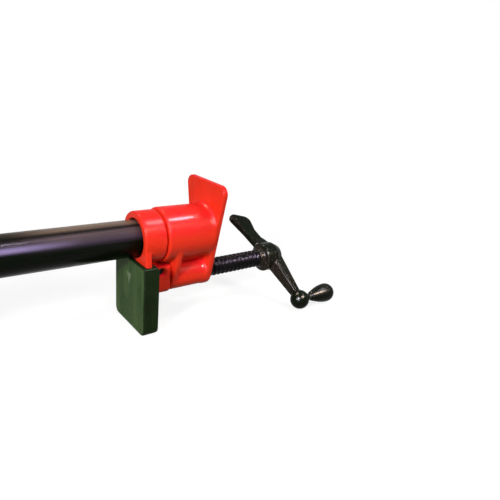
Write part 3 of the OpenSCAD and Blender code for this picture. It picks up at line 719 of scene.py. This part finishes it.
RED = red_enamel()
GREEN = green_plastic()
PIPE_BLACK = black_pipe()
OXIDE = black_oxide()
CASTING = black_casting()
GRIP = black_grip()
DARK_STEEL = steel("dark_steel", dull=(0.010, 0.014, 0.009, 1), bright=(0.024, 0.029, 0.020, 1),
                   scratch_scale=1400.0, rough_low=0.3, rough_high=0.45, Specular_IOR_Level=0.04)
ZINC = steel("zinc_steel", dull=(0.20, 0.205, 0.215, 1), bright=(0.34, 0.345, 0.36, 1),
             scratch_scale=1200.0, rough_low=0.26, rough_high=0.42, Metallic=1.0)

THREAD = thread_tree()
COIL = coil_tree()
ROUNDING = rounding_tree()
FINE = 1.0     # a factor on the voxel sizes; above 1 the voxels are coarser
EVENING = 2       # passes that even out the steps between voxels


def rounded(name, mesh, finish, fineness, corners, hollows):
    """A solid with its corners rounded off and its hollows filled. All sizes are in millimetres."""
    return grown(name, ROUNDING, {"Fineness": fineness * FINE * MM, "Corners": corners * MM,
                                  "Hollows": hollows * MM, "Evening": EVENING, "Finish": finish}, mesh)


# Castings and pads
for name, body, slot_name, finish, node, fineness, corners, hollows in (
        ("head_casting", "head", "red_enamel", RED, "fixed_head", 0.48, 0.55, 0.7),
        ("jaw_casting", "jaw", "red_enamel", RED, "moving_jaw", 0.42, 0.5, 1.0),
        ("tail_casting", "tail", "red_enamel", RED, "tail_jaw", 0.48, 0.6, 1.3),
        ("jaw_pad", "jaw", "green_plastic", GREEN, "moving_jaw_pad", 0.44, 0.45, 0.4),
        ("tail_pad", "tail", "green_plastic", GREEN, "tail_jaw_pad", 0.44, 0.45, 0.4),
        ("clutch_steel_1", "clutch_1", "zinc_steel", ZINC, "clutch_plate_1", 0.36, 0.4, 0.4),
        ("clutch_steel_2", "clutch_2", "zinc_steel", ZINC, "clutch_plate_2", 0.36, 0.4, 0.4),
        ("clutch_steel_3", "clutch_3", "zinc_steel", ZINC, "clutch_plate_3", 0.36, 0.4, 0.4)):
    mesh = rounded(name, cad_solid(node), finish, fineness, corners, hollows)
    dress(name, mesh, finish, body, slot_name, node)


def threaded(name, values, finish, ends, sides):
    """A threaded rod or pipe: the thread that a tree winds, closed by turned ends with as many sides."""
    bm = bmesh.new()
    bm.from_mesh(grown(name, THREAD, {**values, "Sides": sides, "Finish": finish}))
    for profile in ends:
        turned(bm, profile, sides)
    bmesh.ops.remove_doubles(bm, verts=bm.verts, dist=0.01 * MM)
    return bm


# Pipe: threaded free end, chamfered mouth, open bore, plain length into the head
PIPE_SIDES = 96
PIPE_CREST_R = PIPE_R - 0.1
PIPE_ROOT_R = PIPE_CREST_R - 1.0
PIPE_THREAD_START = 1.2
PIPE_MOUTH = 0.4      # chamfers of the bore and of the rim
PIPE_RIM = 0.5
PIPE_NOSE = 0.35
BORE_RING = 60.0      # a ring of points that keeps the bore's faces shorter
pipe = threaded("pipe", {
    "Start": PIPE_THREAD_START * MM, "End": PIPE_THREAD_END * MM, "Pitch": PIPE_THREAD_PITCH * MM,
    "Root radius": PIPE_ROOT_R * MM, "Crest radius": PIPE_CREST_R * MM, "Crest share": 0.12,
    "Flank share": 0.42, "Fade in": 0.6 * MM, "Fade out": 5.0 * MM, "End height": 1.0, "Steps": 8,
}, PIPE_BLACK, [
    [(PIPE_THREAD_START, PIPE_ROOT_R), (PIPE_NOSE, PIPE_ROOT_R - 0.55), (0.0, PIPE_ROOT_R - 1.0),
     (0.0, PIPE_BORE_R + PIPE_NOSE), (PIPE_MOUTH, PIPE_BORE_R), (BORE_RING, PIPE_BORE_R),
     (PIPE_END - PIPE_MOUTH, PIPE_BORE_R), (PIPE_END, PIPE_BORE_R + PIPE_MOUTH),
     (PIPE_END, PIPE_R - PIPE_RIM), (PIPE_END - PIPE_RIM, PIPE_R),
     (PIPE_THREAD_END + 0.6, PIPE_R), (PIPE_THREAD_END, PIPE_CREST_R)],
], PIPE_SIDES)
dress("pipe_steel", as_mesh("pipe_steel", pipe), PIPE_BLACK, "head", "black_pipe", "pipe")

# Screw: grooved journal, rolled thread, shoulder, tenon peened over the hub
SCREW_SIDES = 64
GROOVE_START = GROOVE_MIDDLE - GROOVE_HALF
GROOVE_END = GROOVE_MIDDLE + GROOVE_HALF
JOURNAL_END = THREAD_START - 1.2
UNDERCUT_START = THREAD_START - 1.0
SHOULDER = HUB_START - 0.1
HUB_END = HUB_START + HUB_L
PEEN_END = HUB_END + 1.0
screw = threaded("screw", {
    "Start": THREAD_START * MM, "End": THREAD_END * MM, "Pitch": THREAD_PITCH * MM,
    "Root radius": THREAD_ROOT_R * MM, "Crest radius": THREAD_CREST_R * MM, "Crest share": 0.24,
    "Flank share": 0.22, "Fade in": 3.0 * MM, "Fade out": 1.2 * MM, "End height": 1.0, "Steps": 16,
}, OXIDE, [
    softened([(JOURNAL_START, 0.0), (JOURNAL_START, JOURNAL_R), (GROOVE_START, JOURNAL_R),
              (GROOVE_START, GROOVE_R), (GROOVE_END, GROOVE_R), (GROOVE_END, JOURNAL_R),
              (JOURNAL_END, JOURNAL_R), (UNDERCUT_START, THREAD_ROOT_R), (THREAD_START, THREAD_ROOT_R)],
             reach=0.5, steps=3),
    softened([(THREAD_END, THREAD_CREST_R), (SHOULDER, THREAD_CREST_R), (SHOULDER, TENON_R),
              (HUB_END, TENON_R), (HUB_END, TENON_R + 1.0), (PEEN_END, TENON_R + 0.6),
              (PEEN_END, 0.0)], reach=0.4, steps=3),
], SCREW_SIDES)
dress("screw_steel", as_mesh("screw_steel", screw, Matrix.Translation((0, 0, SCREW_Z * MM))), OXIDE,
      "crank", "black_oxide", "screw")

# Crank: domed hub, ridged arm with a ball, leaf-shaped paddle and the rib that carries it
CRANK_TURN = Matrix.Rotation(math.radians(CRANK_DIP - 90), 4, "X")
CRANK_PLACE = Matrix.Translation((0, 0, SCREW_Z * MM)) @ CRANK_TURN
# Places along the hub and radii, as shares of its length and its radius
HUB_PROFILE = ((0.0, 0.0), (0.0, 0.61), (0.015, 0.645), (0.16, 0.68), (0.195, 0.93), (0.225, 1.0),
               (0.70, 1.0), (0.745, 0.94), (0.96, 0.74), (1.0, 0.66), (1.0, 0.0))
# Circles that the paddle's outline goes round: place along the screw, place out from it, radius
PADDLE_TIP = (523.1, 41.3, 7.7)
PADDLE_NOSE = (516.0, 46.7, 5.5)
PADDLE_SHOULDER = (522.0, 29.9, 7.0)
PADDLE_NECK = (525.2, 11.8, 6.6)
ARM_ROOT = (ARM_X, 0.0, 6.1, 7.6)      # place along the screw, place out from it, half width, half thickness
ARM_TIP = (ARM_X, -ARM_R, 2.8, 3.9)
RIB_END = (525.2, 19.0, 6.6, 2.5)
BAR_STEPS = 12
BLADE_HALF = 2.5      # half the paddle's thickness, and the rounding of its rim
BLADE_EDGE = 1.9


def bar(bm, root, tip, bevel=1.3):
    """Adds a bar of the crank that narrows from its root to its tip, with bevelled edges."""
    sections = []
    for i in range(BAR_STEPS + 1):
        x, out, wide, thick = (a + (b - a) * i / BAR_STEPS for a, b in zip(root, tip))
        w, t = wide - bevel, thick - bevel
        sections.append([(x - wide, -t, out), (x - w, -thick, out), (x + w, -thick, out), (x + wide, -t, out),
                         (x + wide, t, out), (x + w, thick, out), (x - w, thick, out), (x - wide, t, out)])
    stacked(bm, sections)


def crank_mesh():
    bm = bmesh.new()
    turned(bm, softened([(HUB_START + x * HUB_L, r * HUB_R) for x, r in HUB_PROFILE], reach=0.8), sides=96)
    bar(bm, ARM_ROOT, ARM_TIP)
    bar(bm, ARM_ROOT, RIB_END)
    blade(bm, [PADDLE_TIP, PADDLE_NOSE, PADDLE_SHOULDER], BLADE_HALF, BLADE_EDGE)
    blade(bm, [PADDLE_SHOULDER, PADDLE_NECK], BLADE_HALF, BLADE_EDGE)
    ball = bmesh.ops.create_uvsphere(bm, u_segments=48, v_segments=32, radius=BALL_R * MM)
    bmesh.ops.translate(bm, verts=ball["verts"], vec=Vector((ARM_X, 0, -ARM_R)) * MM)
    bmesh.ops.transform(bm, matrix=CRANK_PLACE, verts=bm.verts)
    mesh = bpy.data.meshes.new("crank_shells")
    bmesh.ops.recalc_face_normals(bm, faces=bm.faces)
    bm.to_mesh(mesh)
    bm.free()
    return rounded("crank_casting", mesh, CASTING, fineness=0.36, corners=0.4, hollows=1.6)


dress("crank_casting", crank_mesh(), CASTING, "crank", "black_casting", "crank")

# Spindle with its collar, and the pear-shaped grip
GRIP_PLACE = CRANK_PLACE @ Matrix.Translation((0, 0, -ARM_R * MM))
GRIP_WIDEST = 0.69
GRIP_END_SHARE = 0.45
GRIP_END = GRIP_START + GRIP_L
SPINDLE_END = GRIP_END - 4.3
GRIP_BORE_END = GRIP_END - 4.0
GRIP_BORE_R = SPINDLE_R + 0.08
BALL_END = ARM_X + BALL_R
COLLAR_NECK_R = COLLAR_R - 0.35
spindle = bmesh.new()
turned(spindle, softened([
    (ARM_X + 1.5, 0.0), (ARM_X + 1.5, SPINDLE_R), (BALL_END - 0.4, SPINDLE_R),
    (BALL_END - 0.4, COLLAR_R + 0.3), (BALL_END + 0.5, COLLAR_R), (BALL_END + 1.6, COLLAR_NECK_R),
    (GRIP_START - 1.4, COLLAR_NECK_R), (GRIP_START - 0.3, COLLAR_R), (GRIP_START - 0.3, SPINDLE_R),
    (SPINDLE_END, SPINDLE_R), (SPINDLE_END, 0.0)], reach=0.35, steps=3), sides=64)
dress("spindle_steel", as_mesh("spindle_steel", spindle, GRIP_PLACE), DARK_STEEL,
      "crank", "dark_steel", "grip_spindle")


def pear_profile(steps=24):
    """Section of the grip: its bore, its face, the long side that swells, and the round nose."""
    widest = GRIP_L * GRIP_WIDEST
    end_r = GRIP_R * GRIP_END_SHARE
    side = [(GRIP_START + widest * i / steps, end_r + (GRIP_R - end_r) * math.sin(math.pi / 2 * i / steps))
            for i in range(steps + 1)]
    nose = [(GRIP_START + widest + (GRIP_L - widest) * math.sin(math.pi / 2 * i / steps),
             GRIP_R * math.cos(math.pi / 2 * i / steps)) for i in range(1, steps)]
    mouth = [(GRIP_BORE_END, 0.0), (GRIP_BORE_END, GRIP_BORE_R), (GRIP_START + 0.4, GRIP_BORE_R),
             (GRIP_START, SPINDLE_R + 0.5), (GRIP_START, end_r - 0.7), (GRIP_START + 0.25, end_r - 0.15)]
    return mouth + side[1:] + nose + [(GRIP_END, 0.0)]


grip = bmesh.new()
turned(grip, pear_profile(), sides=72)
dress("grip_knob", as_mesh("grip_knob", grip, GRIP_PLACE), GRIP, "grip", "black_grip", "crank_grip")

# Swivel pin across the lug, with chamfered and dimpled ends
PIN_CHAMFER = 0.4
PIN_DIMPLE = 0.35
PIN_DIMPLE_R = 1.0
pin = bmesh.new()
turned(pin, [(-PIN_HALF + PIN_DIMPLE, 0.0), (-PIN_HALF, PIN_DIMPLE_R), (-PIN_HALF, PIN_R - PIN_CHAMFER),
             (-PIN_HALF + PIN_CHAMFER, PIN_R), (0.0, PIN_R), (PIN_HALF - PIN_CHAMFER, PIN_R),
             (PIN_HALF, PIN_R - PIN_CHAMFER), (PIN_HALF, PIN_DIMPLE_R), (PIN_HALF - PIN_DIMPLE, 0.0)],
       sides=48)
pin_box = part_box("swivel_pin")
pin_middle = (pin_box[0] + pin_box[1]) / 2
pin_place = Matrix.Translation(pin_middle) @ Matrix.Rotation(math.pi / 2, 4, "Z")
dress("pin_steel", as_mesh("pin_steel", pin, pin_place), OXIDE, "jaw", "black_oxide", "swivel_pin")

# Clutch spring, whose curls lean with the tilt of the first plate towards its far end
spring_mesh = grown("spring_wire", COIL, {
    "Coil radius": SPRING_COIL_R * MM, "Wire radius": SPRING_WIRE_R * MM,
    "Length": (SPRING_L - 2 * SPRING_WIRE_R) * MM, "Curls": float(SPRING_CURLS),
    "Lean": math.tan(math.radians(CLUTCH_TILT)), "Start": (TAIL_FACE - SPRING_START - SPRING_WIRE_R) * MM,
    "Points": 48 * SPRING_CURLS + 1, "Wire sides": 16, "Finish": ZINC})
spring_bm = bmesh.new()
spring_bm.from_mesh(spring_mesh)
spring = shown("spring_wire", as_mesh("spring_wire", spring_bm), ZINC, "zinc_steel", "clutch_spring")
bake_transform(spring)


# Studio, with places and sizes in metres

TAN = (1.0, 0.78, 0.66)
PALE_LILAC = (0.93, 0.88, 1.0)
MIDDLE = (0.43, 0.0, -0.01)
BARREL_TOP = (0.44, -0.01, 0.015)
SCREW_MIDDLE = (0.50, -0.03, -0.03)
CRANK_MIDDLE = (0.53, -0.03, -0.05)
BALL_PLACE = (0.529, -0.043, -0.059)
GRIP_MIDDLE = (0.555, -0.043, -0.059)
OVERHEAD = (0.93, -0.22, 0.95)
AMBIENT = 0.12
FLOOR_HALF = 4.0
FLOOR_X = 0.25
FLOOR_GREY = (0.24, 0.242, 0.238, 1)
FLOOR_LIFT = 0.84      # near the clamp, and 1 from WHITE_FROM on
SHADE_TO, WHITE_FROM = 0.25, 0.9


def area_lamp(name, place, target, size, watts, colour=(1, 1, 1)):
    data = bpy.data.lights.new(name, "AREA")
    data.shape = "RECTANGLE"
    data.size, data.size_y = size
    data.energy = watts
    data.color = colour
    lamp = bpy.data.objects.new(name, data)
    bpy.context.scene.collection.objects.link(lamp)
    lamp.location = place
    lamp.rotation_mode = "QUATERNION"
    lamp.rotation_quaternion = (Vector(target) - Vector(place)).to_track_quat("-Z", "Y")
    lamp.visible_camera = False
    return lamp


# Pieces that take the glints: all but those of plated steel
PAINTED = bpy.data.collections.new("painted_pieces")
for piece in bpy.context.scene.objects:
    if piece.type == "MESH" and piece.data.materials and piece.data.materials[0] not in (None, ZINC):
        PAINTED.objects.link(piece)


def softbox(name, place, target, side, watts, mirrored):
    """A square lamp that lights the clamp. Glossy surfaces show only those that are mirrored."""
    area_lamp(name, place, target, (side, side), watts).visible_glossy = mirrored


def glint(name, place, target, size, watts, colour, spread):
    """A small gridded lamp that only makes highlights, and none on the plated steel."""
    lamp = area_lamp(name, place, target, size, watts, colour)
    lamp.data.spread = math.radians(spread)
    lamp.visible_diffuse = False
    lamp.light_linking.receiver_collection = PAINTED


softbox("overhead_softbox", OVERHEAD, MIDDLE, side=0.24, watts=4.4, mirrored=False)
softbox("front_softbox", (0.42, -0.76, 0.66), MIDDLE, side=0.16, watts=2.4, mirrored=True)
softbox("right_softbox", (1.12, -0.58, 0.52), SCREW_MIDDLE, side=0.12, watts=1.2, mirrored=True)
softbox("left_softbox", (-0.28, -0.44, 0.37), SCREW_MIDDLE, side=0.15, watts=6.6, mirrored=False)
glint("left_glint", (0.129, -0.223, 0.186), CRANK_MIDDLE, (0.24, 0.24), watts=4.4, colour=PALE_LILAC,
      spread=40)
glint("strip_glint", (0.627, -0.409, 0.409), GRIP_MIDDLE, (0.32, 0.12), watts=4.0, colour=TAN, spread=40)
glint("back_glint", (0.39, 0.245, 0.45), BALL_PLACE, (0.14, 0.14), watts=1.0, colour=TAN, spread=40)
glint("top_glint", OVERHEAD, BARREL_TOP, (0.16, 0.16), watts=0.5, colour=PALE_LILAC, spread=24)


def shows_background(w):
    """One for a ray that sees the background, also in a mirror or through glass, and zero for other rays."""
    path = w.add("ShaderNodeLightPath").outputs
    straight_or_mirrored = w.math("MAXIMUM", path["Is Camera Ray"], path["Is Glossy Ray"])
    return w.math("MAXIMUM", straight_or_mirrored, path["Is Transmission Ray"])


def plain_world():
    """White where it is seen, and a weak even light on the clamp."""
    world = bpy.data.worlds.new("studio")
    bpy.context.scene.world = world
    world.use_nodes = True
    world.node_tree.nodes.clear()
    w = Wiring(world.node_tree)
    strength = w.ramp(shows_background(w), 0.0, 1.0, AMBIENT, 1.0, smooth=False)
    background = w.add("ShaderNodeBackground", {"Color": (1, 1, 1, 1), "Strength": strength})
    w.add("ShaderNodeOutputWorld", {"Surface": background.outputs[0]})


def pale_floor():
    """A pale floor with the clamp's soft shadow. What is seen of it is lifted to the backdrop's white."""
    bm = bmesh.new()
    bmesh.ops.create_grid(bm, x_segments=1, y_segments=1, size=FLOOR_HALF)
    bmesh.ops.translate(bm, verts=bm.verts, vec=(FLOOR_X, 0, FLOOR_Z * MM))
    mesh = bpy.data.meshes.new("floor")
    bm.to_mesh(mesh)
    bm.free()
    floor = bpy.data.objects.new("floor", mesh)
    bpy.context.scene.collection.objects.link(floor)
    material = bpy.data.materials.new("pale_floor")
    material.use_nodes = True
    material.node_tree.nodes.clear()
    w = Wiring(material.node_tree)
    plain = w.add("ShaderNodeBsdfDiffuse", {"Color": FLOOR_GREY})
    centred = w.add("ShaderNodeMapping", {"Vector": w.add("ShaderNodeTexCoord").outputs["Object"],
                                          "Location": (-MIDDLE[0], 0, 0)}).outputs[0]
    away = w.add("ShaderNodeVectorMath", {0: centred}, operation="LENGTH").outputs["Value"]
    strength = w.times(shows_background(w), w.ramp(away, SHADE_TO, WHITE_FROM, FLOOR_LIFT, 1.0))
    lift = w.add("ShaderNodeEmission", {"Color": (1, 1, 1, 1), "Strength": strength})
    both = w.add("ShaderNodeAddShader", {0: plain.outputs[0], 1: lift.outputs[0]})
    w.add("ShaderNodeOutputMaterial", {"Surface": both.outputs[0]})
    mesh.materials.append(material)


plain_world()
pale_floor()
bpy.context.scene.view_settings.view_transform = "Standard"
